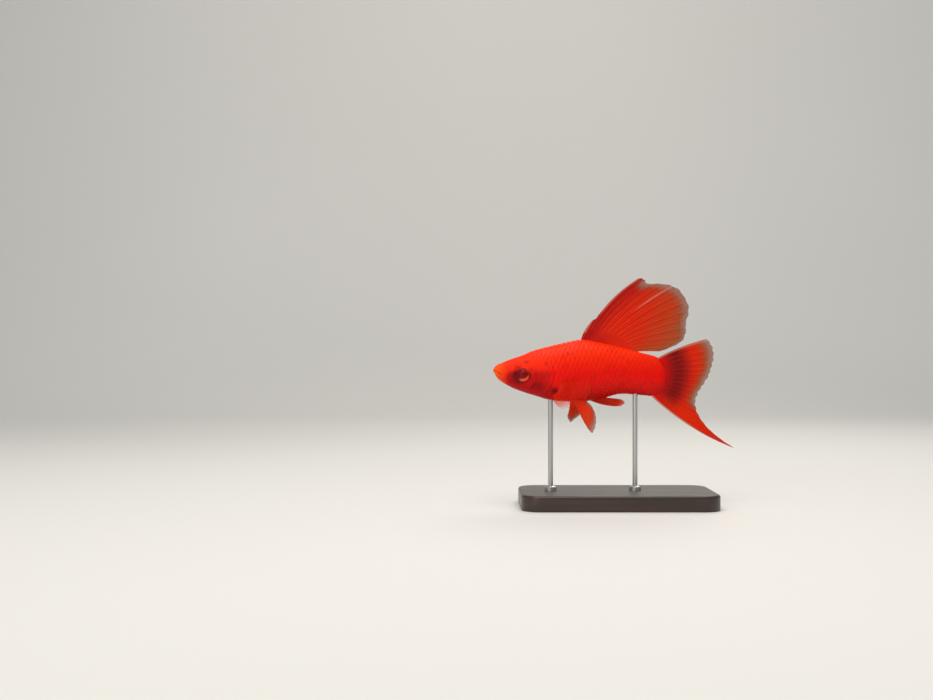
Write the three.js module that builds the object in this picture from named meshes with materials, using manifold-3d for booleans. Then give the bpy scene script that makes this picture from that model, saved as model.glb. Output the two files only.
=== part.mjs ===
// A male red swordtail (Xiphophorus hellerii), life size, swimming level on a plain display stand.
// Millimetres, +Z up. The head points to -X, so the left side faces -Y. The origin is on the floor,
// under the middle of the whole model.
import * as THREE from "three";
import { mergeVertices } from "three/addons/utils/BufferGeometryUtils.js";
import Module from "manifold-3d";

// Driving dimensions
const TOTAL_LENGTH = 79; // snout tip to sword tip
const FLESH_LENGTH = 56; // snout tip to the end of the scaled tail stock
const SWIM_HEIGHT = 44; // the snout tip above the floor
const PART_GAP = 0.3; // thin cut between neighbouring parts
const SWAY = { from: 26, reach: 4.2 }; // behind `from` the tail swings right, by `reach` at its tip
const FAR = 20; // past the body on every side

// The body's outline. `at` is measured back from the snout tip, and top and bottom up and down from
// it. half is half the width at the widest level, which lies at the share waist of the height. upper
// and lower say how square the two half sections are: 2 is an ellipse.
const STATIONS = [
  { at: 0, top: 0.85, bottom: -2.0, half: 1.8, waist: 0.5, upper: 2.2, lower: 2.0 }, // mouth
  { at: 2.2, top: 1.7, bottom: -4.0, half: 2.35, waist: 0.5, upper: 2.3, lower: 2.0 }, // jaws
  { at: 5.4, top: 3.0, bottom: -5.95, half: 3.05, waist: 0.48, upper: 2.3, lower: 1.95 }, // nostrils
  { at: 9, top: 4.2, bottom: -7.45, half: 3.75, waist: 0.47, upper: 2.3, lower: 1.9 }, // eyes
  { at: 12.5, top: 5.65, bottom: -8.55, half: 4.35, waist: 0.47, upper: 2.2, lower: 1.9 }, // cheeks
  { at: 18.2, top: 7.2, bottom: -10.15, half: 4.95, waist: 0.48, upper: 2.1, lower: 1.95 }, // gills
  { at: 24.6, top: 8.7, bottom: -10.7, half: 5.0, waist: 0.5, upper: 2.0, lower: 2.0 }, // breast
  { at: 28.2, top: 9.35, bottom: -10.7, half: 4.9, waist: 0.5, upper: 1.95, lower: 2.0 }, // deepest
  { at: 34.2, top: 8.35, bottom: -9.85, half: 4.5, waist: 0.5, upper: 1.95, lower: 1.95 }, // vent
  { at: 40.6, top: 6.9, bottom: -8.25, half: 3.6, waist: 0.5, upper: 1.95, lower: 1.9 }, // anal fin
  { at: 47, top: 5.3, bottom: -8.6, half: 2.5, waist: 0.5, upper: 2.0, lower: 2.0 }, // tail stock
  { at: 52, top: 4.05, bottom: -9.05, half: 1.6, waist: 0.5, upper: 2.0, lower: 2.0 }, // fin roots
  { at: 56, top: 3.0, bottom: -9.5, half: 0.95, waist: 0.5, upper: 2.0, lower: 2.0 }, // flesh ends
];
const SNOUT = { level: -0.5, reach: 1.7 }; // the level that the tip rounds to, over the length `reach`
const TAIL_END = { level: -3.2, reach: 4.6, sideReach: 1.2 };

// Head
const EYE = { at: 9.4, level: -2.0, radius: 2.55, depth: 1.4, out: 2.9 };
const GILL_COVER = { thickness: 0.9, throat: 1 }; // throat: half the strip between the two covers
const MOUTH = [[-2, -0.55], [0, -0.65], [2.7, -2.1], [4.4, -4.4], [4.6, -9], [-2, -9]];
const GILL_FRONT = [[19, 4.4], [15.8, 3.6], [14.2, 1.8], [13.4, -1.6], [12.7, -5.4], [11.6, -9], [10, -13]];
const GILL_REAR = [[13.6, -12], [16.9, -8.4], [18.9, -4.2], [18.9, 0], [17.2, 4.2], [14.4, 8.5]];
const TAIL_CUT = 39.5; // where the trunk ends and the tail stock starts

// Fins. A ray runs from a point on the curve through roots to the same share of the curve through
// tips. Points are [back from the snout, out to the left, up]. bow bends the rays within the fin, from
// the first ray to the last, and thick is the thickness at the roots and at the margin.
const FINS = {
  fin_dorsal: {
    roots: [[28.8, 0, 8.3], [33.6, 0, 7.7], [38.6, 0, 6.6], [43.4, 0, 5.2]],
    tips: [
      [47.3, 0.2, 29.3], [48.8, 0.2, 28.7], [50.0, 0.3, 27.4], [53.4, 0.5, 27.5], [57.4, 0.7, 26.9],
      [60.8, 0.8, 24.8], [62.8, 0.9, 21.6], [63.2, 0.9, 18.2], [62.4, 0.9, 14.9], [62.4, 0.8, 11.8],
      [61.2, 0.8, 8.9], [57.8, 0.8, 6.9], [53.8, 0.6, 5.4],
    ],
    bow: [2.3, 1.5, 0.9, 0.2], thick: [0.9, 0.5], rays: 24, steps: 7,
  },
  fin_dorsal_spur: {
    roots: [[27.9, 0, 8.2], [28.6, 0, 8.2], [29.4, 0, 8.1]],
    tips: [[32.2, 0, 15.8], [33.2, 0, 16.1], [34.4, 0, 16.3]],
    bow: [0.7, -0.7], thick: [0.9, 0.5], rays: 3, steps: 5,
  },
  fin_caudal: {
    roots: [
      [52.6, 0, 3.3], [54.8, 0, 1.0], [55.3, 0, -2.2], [54.9, 0, -5.0], [53.4, 0, -7.0],
      [52.0, 0, -8.0], [50.6, 0, -8.7],
    ],
    tips: [
      [69.5, -0.7, 9.6], [71.2, -0.3, 6.9], [71.5, 0, 3.6], [70.9, 0.3, 0.6], [69.8, 0.5, -2.3],
      [68.0, 0.5, -5.4], [66.2, 0.4, -8.2], [65.4, 0.2, -11.4], [66.3, 0.1, -14.8], [69.2, 0, -18.9],
      [73.6, 0, -22.7], [79, 0, -26.2],
    ],
    bow: [0.6, 0.2, 0, -0.1, -0.5, -1.7], thick: [1.1, 0.5], rays: 26, steps: 8,
  },
  fin_pectoral: {
    roots: [[20.6, 4.3, -4.6], [20.0, 3.8, -6.6], [18.9, 2.7, -8.7]],
    tips: [
      [29.6, 8.9, -4.1], [30.6, 9.8, -6.0], [30.0, 10.2, -8.2], [28.2, 9.9, -10.1],
      [25.3, 8.9, -11.8], [21.6, 7.2, -12.9],
    ],
    bow: [0.6, -0.5], thick: [0.8, 0.5], rays: 12, steps: 5,
  },
  fin_pelvic_left: {
    roots: [[25.6, 1.5, -9.8], [27.2, 1.3, -9.9], [28.9, 1.1, -9.8]],
    tips: [
      [30.2, 4.2, -19.4], [31.5, 4.4, -20.6], [32.5, 4.0, -18.4], [32.8, 3.4, -16.2],
      [32.4, 2.8, -14.0], [31.4, 2.1, -11.9],
    ],
    bow: [0.3, 0, -0.1], thick: [0.9, 0.5], rays: 8, steps: 5,
  },
  fin_pelvic_right: {
    roots: [[24.7, -1.5, -9.8], [26.2, -1.3, -9.9], [27.9, -1.1, -9.8]],
    tips: [
      [24.2, -6.8, -15.8], [25.2, -7.4, -17.8], [26.5, -6.6, -16.8], [27.6, -5.6, -15.9],
      [28.6, -4.4, -14.6], [29.0, -3.0, -12.5],
    ],
    bow: [-0.3, 0.3], thick: [0.9, 0.5], rays: 8, steps: 5,
  },
  gonopodium: {
    roots: [[34.8, 0, -9.2], [32.8, 0, -9.5], [30.4, 0, -9.9]],
    tips: [[41.5, 0, -10.1], [42.3, 0, -11.0], [41.0, 0, -12.0]],
    bow: [0.1, -0.75], thick: [1.3, 0.7], rays: 4, steps: 6,
  },
};

const SWORD_RAY = 0.66; // the caudal ray, counted from 0 above to 1 below, where the sword starts
const SWORD_CUT = 0.02; // the thin cut there, as a share of the rays

// Stand
const BASE = { length: 62, width: 34, height: 5, corner: 5, bevel: 0.8 };
const ROD = { radius: 0.8, sink: 1.8 }; // sink: how far it runs up into the belly
const ROD_PLACES = { stand_rod_front: 18.4, stand_rod_rear: 45.5 }; // back from the snout

// Mesh fineness
const BODY = { rings: 38, around: 28 };
const EYE_FACETS = [16, 11];
const ROD_SIDES = 16;
const GILL_PIECES = 12;
const FINEST = 0.012; // slivers thinner than this, left by a cut, are closed up

const MATERIALS = {
  skin: new THREE.MeshStandardMaterial({ color: 0xe6200c, roughness: 0.42, metalness: 0 }),
  fin: new THREE.MeshStandardMaterial({ color: 0xd9340f, roughness: 0.5, metalness: 0 }),
  eye: new THREE.MeshStandardMaterial({ color: 0x7a0d10, roughness: 0.12, metalness: 0 }),
  wood: new THREE.MeshStandardMaterial({ color: 0x3a2418, roughness: 0.45, metalness: 0 }),
  steel: new THREE.MeshStandardMaterial({ color: 0xb9bbbd, roughness: 0.3, metalness: 1 }),
};

const wasm = await Module();
wasm.setup();
const model = new THREE.Group();

const measures = ["top", "bottom", "half", "waist", "upper", "lower"];
const outline = new THREE.CubicInterpolant(
  STATIONS.map((station) => station.at),
  STATIONS.flatMap((station) => measures.map((key) => station[key])),
  measures.length,
);

// From the fish's own measures, [back from the snout, out to the left, up], to the model's frame.
function place(at, left, up) {
  const swing = Math.max(0, at - SWAY.from) / (TOTAL_LENGTH - SWAY.from);
  return new THREE.Vector3(at - TOTAL_LENGTH / 2, SWAY.reach * swing ** 2 - left, up + SWIM_HEIGHT);
}

// 0 at a tip, rising on a quarter circle to 1 at the distance `reach` from it.
const rounded = (distance, reach) => Math.sqrt(1 - Math.max(0, 1 - distance / reach) ** 2);

// A point of the body's surface. up and left are the direction round the section, and the whole
// surface lies out by `grow`.
function bodyPoint(at, up, left, grow) {
  const [topEdge, bottomEdge, halfWidth, waistShare, upper, lower] = outline.evaluate(at);
  const toTail = FLESH_LENGTH - at;
  const front = rounded(at, SNOUT.reach);
  const rear = rounded(toTail, TAIL_END.reach);
  const { level } = at < toTail ? SNOUT : TAIL_END;
  const top = THREE.MathUtils.lerp(level, topEdge, front * rear);
  const bottom = THREE.MathUtils.lerp(level, bottomEdge, front * rear);
  const half = halfWidth * front * rounded(toTail, TAIL_END.sideReach);
  const waist = THREE.MathUtils.lerp(bottom, top, waistShare);
  const height = up > 0 ? top - waist : waist - bottom;
  const power = 2 / (up > 0 ? upper : lower);
  const bent = (share) => Math.sign(share) * Math.abs(share) ** power;
  return place(
    at + grow * (front - rear),
    bent(left) * (half + grow),
    waist + bent(up) * (height + grow),
  );
}

// Moves every vertex of a geometry to where `to` says.
function reshape(geometry, to) {
  const positions = geometry.getAttribute("position");
  for (let i = 0; i < positions.count; i++) {
    const { x, y, z } = to(new THREE.Vector3().fromBufferAttribute(positions, i));
    positions.setXYZ(i, x, y, z);
  }
  return geometry;
}

// The whole body, from a sphere whose poles become the snout and the end of the tail stock.
function bodyGeometry(grow = 0) {
  return reshape(new THREE.SphereGeometry(1, BODY.around, BODY.rings), ({ x, y, z }) => {
    const ring = Math.hypot(x, z) || 1;
    return bodyPoint((FLESH_LENGTH * (1 - y)) / 2, x / ring, z / ring, grow);
  });
}

// A smooth function of a share from 0 to 1, through evenly spread rows of numbers.
function through(rows) {
  const shares = rows.map((_, i) => i / (rows.length - 1));
  const curve = new THREE.CubicInterpolant(shares, rows.flat(), rows[0].length);
  return (share) => [...curve.evaluate(share)];
}

// A fin plate, thinner towards its margin. flip is -1 for the fin of the right side, and first and
// last say which part of the fin is made, as shares of its rays.
function finGeometry({ roots, tips, bow, thick, rays, steps }, flip = 1, first = 0, last = 1) {
  const [rootLine, tipLine, bowLine] = [through(roots), through(tips), through(bow.map((b) => [b]))];
  const nudge = 0.01;
  const between = (line, ray) => {
    const [low, high] = [Math.max(ray - nudge, 0), Math.min(ray + nudge, 1)];
    return new THREE.Vector3(...line(high)).sub(new THREE.Vector3(...line(low)));
  };
  const surface = (ray, share) => {
    const root = new THREE.Vector3(...rootLine(ray));
    const run = new THREE.Vector3(...tipLine(ray)).sub(root);
    const across = between(tipLine, ray).add(between(rootLine, ray));
    across.addScaledVector(run, -across.dot(run) / run.lengthSq()).normalize();
    const bend = -4 * share * (1 - share) * bowLine(ray)[0];
    const { x, y, z } = root.addScaledVector(run, share).addScaledVector(across, bend);
    return place(x, flip * y, z);
  };
  const plate = new THREE.BoxGeometry(1, 1, 1, Math.round(rays * (last - first)), steps, 1);
  return reshape(plate, ({ x, y, z }) => {
    const ray = THREE.MathUtils.lerp(first, last, x + 0.5);
    const share = y + 0.5;
    const nextRay = surface(Math.min(ray + nudge, 1), share);
    const acrossRays = nextRay.sub(surface(Math.max(ray - nudge, 0), share));
    const alongRay = surface(ray, share + nudge).sub(surface(ray, share - nudge));
    const facing = acrossRays.cross(alongRay).normalize();
    return surface(ray, share).addScaledVector(facing, z * THREE.MathUtils.lerp(...thick, share));
  });
}

// A prism right across the body, between the levels `left` to the side, from an outline of
// [back from the snout, up] points.
function prism(points, from = -FAR, to = FAR) {
  const shape = new THREE.Shape(points.map(([at, up]) => new THREE.Vector2(at, up)));
  return new THREE.ExtrudeGeometry(shape, { depth: to - from, bevelEnabled: false })
    .rotateX(Math.PI / 2)
    .translate(-TOTAL_LENGTH / 2, -from, SWIM_HEIGHT);
}

function solid(geometry) {
  const bare = geometry.clone().deleteAttribute("normal").deleteAttribute("uv");
  const merged = mergeVertices(bare, 1e-4);
  return new wasm.Manifold(
    new wasm.Mesh({
      numProp: 3,
      vertProperties: merged.getAttribute("position").array,
      triVerts: new Uint32Array(merged.index.array),
    }),
  );
}

function addMesh(name, shape, material) {
  const { vertProperties, triVerts } = shape.simplify(FINEST).getMesh();
  const shared = new THREE.BufferGeometry();
  shared.setAttribute("position", new THREE.BufferAttribute(vertProperties, 3));
  shared.setIndex([...triVerts]);
  const geometry = shared.toNonIndexed();
  geometry.computeVertexNormals();
  const mesh = new THREE.Mesh(geometry, MATERIALS[material]);
  mesh.name = name;
  model.add(mesh);
}

// side is 1 for the left and -1 for the right
function eyeGeometry(side, grow = 0) {
  const centre = place(EYE.at, side * EYE.out, EYE.level);
  return new THREE.SphereGeometry(1, ...EYE_FACETS)
    .rotateX(Math.PI / 2)
    .scale(EYE.radius + grow, EYE.depth + grow, EYE.radius + grow)
    .translate(...centre);
}

// A smooth line through [back from the snout, up] points, moved back by `shift`.
function smoothLine(points, shift, pieces) {
  const curve = new THREE.SplineCurve(points.map(([at, up]) => new THREE.Vector2(at + shift, up)));
  return curve.getPoints(pieces).map(({ x, y }) => [x, y]);
}

// Everything in front of the gill covers' rear edge, moved back by `grow`.
function headBlock(grow) {
  return solid(prism([[-FAR, FAR], [-FAR, -FAR], ...smoothLine(GILL_REAR, grow, GILL_PIECES)]));
}

function jawBlock(grow) {
  return solid(prism(MOUTH.map(([at, up]) => [at + grow, up + grow]).reverse()));
}

// The block that one gill cover is cut from, larger by `grow` in front, above and on the inside.
function coverBlock(side, grow) {
  const edge = smoothLine(GILL_FRONT, 0, GILL_PIECES).map(([at, up]) => [at - grow, up + grow]);
  const block = [[FAR, edge[0][1]], ...edge, [FAR, -FAR]];
  const inner = GILL_COVER.throat - grow;
  return solid(prism(block, ...(side > 0 ? [inner, FAR] : [-FAR, -inner])));
}

function tailBlock(grow) {
  const front = TAIL_CUT - grow;
  return solid(prism([[front, -FAR], [TOTAL_LENGTH, -FAR], [TOTAL_LENGTH, FAR], [front, FAR]]));
}

function addFlesh() {
  const body = solid(bodyGeometry());
  const underCovers = solid(bodyGeometry(-GILL_COVER.thickness));
  const core = solid(bodyGeometry(-GILL_COVER.thickness - PART_GAP));
  const shell = body.subtract(underCovers).intersect(headBlock(0));

  let head = body.intersect(headBlock(0)).subtract(jawBlock(PART_GAP));
  for (const [name, side] of [["left", 1], ["right", -1]]) {
    head = head.subtract(coverBlock(side, PART_GAP).subtract(core));
    head = head.subtract(solid(eyeGeometry(side, PART_GAP)));
    addMesh(`gill_cover_${name}`, shell.intersect(coverBlock(side, 0)), "skin");
    addMesh(`eye_${name}`, solid(eyeGeometry(side)), "eye");
  }
  addMesh("head", head, "skin");
  addMesh("jaw_lower", body.intersect(jawBlock(0)), "skin");

  const [frontHole, rearHole] = Object.values(ROD_PLACES).map((at) => solid(rodGeometry(at, PART_GAP)));
  const trunk = body.subtract(headBlock(PART_GAP)).subtract(tailBlock(PART_GAP));
  addMesh("trunk", trunk.subtract(frontHole), "skin");
  addMesh("tail_stock", body.intersect(tailBlock(0)).subtract(rearHole), "skin");
}

function addFins() {
  const clearOfBody = solid(bodyGeometry(PART_GAP));
  const plate = (name, ...options) => solid(finGeometry(FINS[name], ...options)).subtract(clearOfBody);
  addMesh("fin_dorsal", plate("fin_dorsal").add(plate("fin_dorsal_spur")), "fin");
  for (const name of ["fin_pelvic_left", "fin_pelvic_right", "gonopodium"]) {
    addMesh(name, plate(name), "fin");
  }
  addMesh("fin_pectoral_left", plate("fin_pectoral", 1), "fin");
  addMesh("fin_pectoral_right", plate("fin_pectoral", -1), "fin");
  addMesh("fin_caudal", plate("fin_caudal", 1, 0, SWORD_RAY), "fin");
  addMesh("sword", plate("fin_caudal", 1, SWORD_RAY + SWORD_CUT, 1), "fin");
}

// A rod from the base up into the belly. With `grow` it is the hole that the rod stands in.
function rodGeometry(at, grow = 0) {
  const [, bottom] = outline.evaluate(at);
  const { x, y, z } = place(at, 0, bottom + ROD.sink + grow);
  const height = z - BASE.height;
  return new THREE.CylinderGeometry(ROD.radius + grow, ROD.radius + grow, height, ROD_SIDES)
    .rotateX(Math.PI / 2)
    .translate(x, y, BASE.height + height / 2);
}

function addStand() {
  const { length, width, height, corner, bevel } = BASE;
  const cornerX = length / 2 - bevel - corner;
  const cornerY = width / 2 - bevel - corner;
  const plan = new THREE.Shape();
  [[1, 1], [-1, 1], [-1, -1], [1, -1]].forEach(([x, y], quarter) => {
    const start = (quarter * Math.PI) / 2;
    plan.absarc(x * cornerX, y * cornerY, corner, start, start + Math.PI / 2);
  });
  const plate = new THREE.ExtrudeGeometry(plan, {
    depth: height - 2 * bevel, bevelThickness: bevel, bevelSize: bevel, bevelSegments: 2, curveSegments: 5,
  });
  addMesh("stand_base", solid(plate.translate(0, 0, bevel)), "wood");
  for (const [name, at] of Object.entries(ROD_PLACES)) addMesh(name, solid(rodGeometry(at)), "steel");
}

addFlesh();
addFins();
addStand();

export default model;
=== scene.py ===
"""A male red swordtail, life size, on a plain display stand, with its finish, lights and camera."""

import math

import bmesh
import bpy
import numpy as np
from bpy.props import FloatProperty, FloatVectorProperty, PointerProperty
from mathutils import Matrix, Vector


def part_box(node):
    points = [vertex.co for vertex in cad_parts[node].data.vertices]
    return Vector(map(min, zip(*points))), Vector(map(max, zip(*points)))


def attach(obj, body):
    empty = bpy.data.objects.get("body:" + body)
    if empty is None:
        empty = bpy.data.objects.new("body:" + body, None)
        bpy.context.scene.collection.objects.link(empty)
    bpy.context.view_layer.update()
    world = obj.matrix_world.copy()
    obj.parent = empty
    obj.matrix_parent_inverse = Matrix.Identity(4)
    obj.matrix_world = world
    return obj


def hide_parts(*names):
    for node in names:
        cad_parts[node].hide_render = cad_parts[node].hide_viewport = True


bl_info = {
    "name": "Swordtail on a Display Stand",
    "version": (1, 0, 0),
    "blender": (4, 5, 0),
    "location": "View3D > Sidebar > Swordtail",
    "description": "Models the skin, scales, fins, eyes and stand of a life-size swordtail",
    "category": "Object",
}

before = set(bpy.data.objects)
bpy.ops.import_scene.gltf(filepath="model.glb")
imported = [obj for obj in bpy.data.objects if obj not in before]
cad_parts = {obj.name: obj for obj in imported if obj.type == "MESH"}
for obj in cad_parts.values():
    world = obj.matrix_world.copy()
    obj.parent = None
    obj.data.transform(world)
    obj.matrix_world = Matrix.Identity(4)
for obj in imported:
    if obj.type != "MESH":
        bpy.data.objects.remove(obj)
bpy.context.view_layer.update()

# The fish is measured in millimetres: back from the snout tip, out to the left, and up from the
# snout tip's level.
MM = 0.001
LENGTH = 79.0
FLESH_LENGTH = 56.0
SWIM_HEIGHT = 44.0
SWAY_FROM = 26.0
SWAY_REACH = 4.2

# The body's outline: back from the snout, top, bottom, half width, level of the widest place as a
# share of the height, and how square the upper and the lower half are, where 2 is an ellipse.
STATIONS = np.array(
    [
        [0, 0.85, -2.0, 1.8, 0.5, 2.2, 2.0],
        [2.2, 1.7, -4.0, 2.35, 0.5, 2.3, 2.0],
        [5.4, 3.0, -5.95, 3.05, 0.48, 2.3, 1.95],
        [9, 4.2, -7.45, 3.75, 0.47, 2.3, 1.9],
        [12.5, 5.65, -8.55, 4.35, 0.47, 2.2, 1.9],
        [18.2, 7.2, -10.15, 4.95, 0.48, 2.1, 1.95],
        [24.6, 8.7, -10.7, 5.0, 0.5, 2.0, 2.0],
        [28.2, 9.35, -10.7, 4.9, 0.5, 1.95, 2.0],
        [34.2, 8.35, -9.85, 4.5, 0.5, 1.95, 1.95],
        [40.6, 6.9, -8.25, 3.6, 0.5, 1.95, 1.9],
        [47, 5.3, -8.6, 2.5, 0.5, 2.0, 2.0],
        [52, 4.05, -9.05, 1.6, 0.5, 2.0, 2.0],
        [56, 3.0, -9.5, 0.95, 0.5, 2.0, 2.0],
    ]
)
SNOUT_LEVEL, SNOUT_REACH = -0.5, 1.7
TAIL_LEVEL, TAIL_REACH, TAIL_SIDE_REACH = -3.2, 4.6, 1.2

# Lines of the head, as [back from the snout, up]
MOUTH_LINE = [[-0.8, -0.4], [0.1, -0.55], [1.2, -1.0], [2.1, -1.6], [2.75, -2.4]]
BROW_LINE = [[6.3, 0.7], [6.9, 1.5], [7.9, 2.15], [9.2, 2.4]]
CHEEK_LINE = [[12.3, 0.9], [13.5, -1.6], [13.3, -4.6], [11.4, -6.6], [8.6, -7.0]]
GILL_LINE = [[13.6, -12], [16.9, -8.4], [18.9, -4.2], [18.9, 0], [17.2, 4.2], [14.4, 8.5]]
NOSTRILS = [[4.0, 1.1, 0.17], [5.7, 1.35, 0.2]]  # with the radius

EYE_AT, EYE_LEVEL, EYE_OUT = 9.5, -2.05, 2.9
EYE_RADIUS, EYE_DEPTH = 2.4, 1.38
LID_RADIUS = 2.0  # the opening of the skin round the eye
COAT_DEPTH = 0.12  # how far the skin lies inside the body's outline, under the scales

# Fins. A ray runs from a point on the curve through roots to the same share of the curve through
# tips, and bow bends it within the fin. Rays are counted from 0, the first, to 1, the last.
FINS = {
    "fin_dorsal": {
        "roots": [[28.8, 0, 8.3], [33.6, 0, 7.7], [38.6, 0, 6.6], [43.4, 0, 5.2]],
        "tips": [
            [47.3, 0.2, 29.3], [48.8, 0.2, 28.7], [50.0, 0.3, 27.4], [53.4, 0.5, 27.5],
            [57.4, 0.7, 26.9], [60.8, 0.8, 24.8], [62.8, 0.9, 21.6], [63.2, 0.9, 18.2],
            [62.4, 0.9, 14.9], [62.4, 0.8, 11.8], [61.2, 0.8, 8.9], [57.8, 0.8, 6.9],
            [53.8, 0.6, 5.4],
        ],
        "bow": [2.3, 1.5, 0.9, 0.2],
    },
    "fin_dorsal_spur": {
        "roots": [[27.9, 0, 8.2], [28.6, 0, 8.2], [29.4, 0, 8.1]],
        "tips": [[32.2, 0, 15.8], [33.2, 0, 16.1], [34.4, 0, 16.3]],
        "bow": [0.7, -0.7],
    },
    "fin_caudal": {
        "roots": [
            [52.6, 0, 3.3], [54.8, 0, 1.0], [55.3, 0, -2.2], [54.9, 0, -5.0], [53.4, 0, -7.0],
            [52.0, 0, -8.0], [50.6, 0, -8.7],
        ],
        "tips": [
            [69.5, -0.7, 9.6], [71.2, -0.3, 6.9], [71.5, 0, 3.6], [70.9, 0.3, 0.6],
            [69.8, 0.5, -2.3], [68.0, 0.5, -5.4], [66.2, 0.4, -8.2], [65.4, 0.2, -11.4],
            [66.3, 0.1, -14.8], [69.2, 0, -18.9], [73.6, 0, -22.7], [79, 0, -26.2],
        ],
        "bow": [0.6, 0.2, 0, -0.1, -0.5, -1.7],
    },
    "fin_pectoral": {
        "roots": [[20.6, 4.3, -4.6], [20.0, 3.8, -6.6], [18.9, 2.7, -8.7]],
        "tips": [
            [29.6, 8.9, -4.1], [30.6, 9.8, -6.0], [30.0, 10.2, -8.2], [28.2, 9.9, -10.1],
            [25.3, 8.9, -11.8], [21.6, 7.2, -12.9],
        ],
        "bow": [0.6, -0.5],
    },
    "fin_pelvic_left": {
        "roots": [[25.6, 1.5, -9.8], [27.2, 1.3, -9.9], [28.9, 1.1, -9.8]],
        "tips": [
            [30.2, 4.2, -19.4], [31.5, 4.4, -20.6], [32.5, 4.0, -18.4], [32.8, 3.4, -16.2],
            [32.4, 2.8, -14.0], [31.4, 2.1, -11.9],
        ],
        "bow": [0.3, 0, -0.1],
    },
    "fin_pelvic_right": {
        "roots": [[24.7, -1.5, -9.8], [26.2, -1.3, -9.9], [27.9, -1.1, -9.8]],
        "tips": [
            [24.2, -6.8, -15.8], [25.2, -7.4, -17.8], [26.5, -6.6, -16.8], [27.6, -5.6, -15.9],
            [28.6, -4.4, -14.6], [29.0, -3.0, -12.5],
        ],
        "bow": [-0.3, 0.3],
    },
    "gonopodium": {
        "roots": [[34.8, 0, -9.2], [32.8, 0, -9.5], [30.4, 0, -9.9]],
        "tips": [[41.5, 0, -10.1], [42.3, 0, -11.0], [41.0, 0, -12.0]],
        "bow": [0.1, -0.75],
    },
}

SKIN_RINGS, SKIN_AROUND = 380, 168
SCALE_ROWS = 24  # round the whole body
SCALE_HALF_WIDTH = 0.9  # as a share of the distance between rows
SCALE_ROOT_DEPTH, SCALE_UNDERSIDE = 0.05, 0.09  # how deep a scale's root and underside lie
PATCH = 0.003  # the size of a scale's place on the bake map
SEED = 7
NUDGE = 0.01  # a small step along a fin, as a share, to find a direction


# Curves and surfaces


def through(knots, rows, at):
    """The smooth curve through rows at knots. A knot's slope is the mean of its two chords'."""
    knots, rows, at = np.asarray(knots, float), np.asarray(rows, float), np.asarray(at, float)
    chord = np.diff(rows, axis=0) / np.diff(knots)[:, None]
    slope = np.vstack([chord[:1], (chord[1:] + chord[:-1]) / 2, chord[-1:]])
    i = np.clip(np.searchsorted(knots, at, side="right") - 1, 0, len(knots) - 2)
    span = (knots[i + 1] - knots[i])[..., None]
    t = np.clip((at - knots[i])[..., None] / span, 0, 1)
    return (
        (2 * t**3 - 3 * t**2 + 1) * rows[i]
        + (t**3 - 2 * t**2 + t) * span * slope[i]
        + (3 * t**2 - 2 * t**3) * rows[i + 1]
        + (t**3 - t**2) * span * slope[i + 1]
    )


def evenly(rows, share):
    """The smooth curve through rows that are spread evenly over the shares from 0 to 1."""
    return through(np.linspace(0, 1, len(rows)), rows, share)


def smooth(low, high, value):
    """0 below low and 1 above high, with a soft change between them."""
    t = np.clip((value - low) / (high - low), 0, 1)
    return t * t * (3 - 2 * t)


def bell(distance, width):
    return np.exp(-((distance / width) ** 2))


def fish(at, left, up):
    """Points of the model's frame in metres, from the fish's own measures in millimetres."""
    swing = np.maximum(0, at - SWAY_FROM) / (LENGTH - SWAY_FROM)
    return MM * np.stack(
        [at - LENGTH / 2, SWAY_REACH * swing**2 - left, up + SWIM_HEIGHT], axis=-1
    )


def rounded(distance, reach):
    """0 at a tip, rising on a quarter circle to 1 at the distance `reach` from it."""
    return np.sqrt(1 - (1 - np.clip(distance / reach, 0, 1)) ** 2)


def section(at, turn, out=0.0):
    """The body's surface in the fish's own measures. turn goes round from the left side over the
    back, and the surface lies further out by `out`."""
    top_edge, bottom_edge, half_width, waist_share, upper, lower = through(
        STATIONS[:, 0], STATIONS[:, 1:], at
    ).T
    to_tail = FLESH_LENGTH - at
    front = rounded(at, SNOUT_REACH)
    rear = rounded(to_tail, TAIL_REACH)
    level = np.where(at < to_tail, SNOUT_LEVEL, TAIL_LEVEL)
    top = level + (top_edge - level) * front * rear
    bottom = level + (bottom_edge - level) * front * rear
    half = half_width * front * rounded(to_tail, TAIL_SIDE_REACH)
    waist = bottom + (top - bottom) * waist_share
    left, up = np.cos(turn), np.sin(turn)
    height = np.where(up > 0, top - waist, waist - bottom)
    power = 2 / (lower + (upper - lower) * smooth(-0.5, 0.5, up))
    return (
        at + out * (front - rear),
        np.sign(left) * np.abs(left) ** power * (half + out),
        waist + np.sign(up) * np.abs(up) ** power * (height + out),
    )


def line_distance(line, at, up):
    """How far points lie from a smooth line of the side view, how far along it, as a share, and
    whether they lie above it, as 1 or -1."""
    dots = evenly(line, np.linspace(0, 1, 40))
    best = np.full(at.shape, np.inf)
    share = np.zeros(at.shape)
    side = np.ones(at.shape)
    for i, (start, end) in enumerate(zip(dots[:-1], dots[1:])):
        run = end - start
        t = np.clip(((at - start[0]) * run[0] + (up - start[1]) * run[1]) / (run @ run), 0, 1)
        away_at = at - start[0] - t * run[0]
        away_up = up - start[1] - t * run[1]
        distance = np.hypot(away_at, away_up)
        closer = distance < best
        best = np.where(closer, distance, best)
        share = np.where(closer, (i + t) / (len(dots) - 1), share)
        side = np.where(closer, np.sign(run[0] * away_up - run[1] * away_at), side)
    return best, share, side


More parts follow.
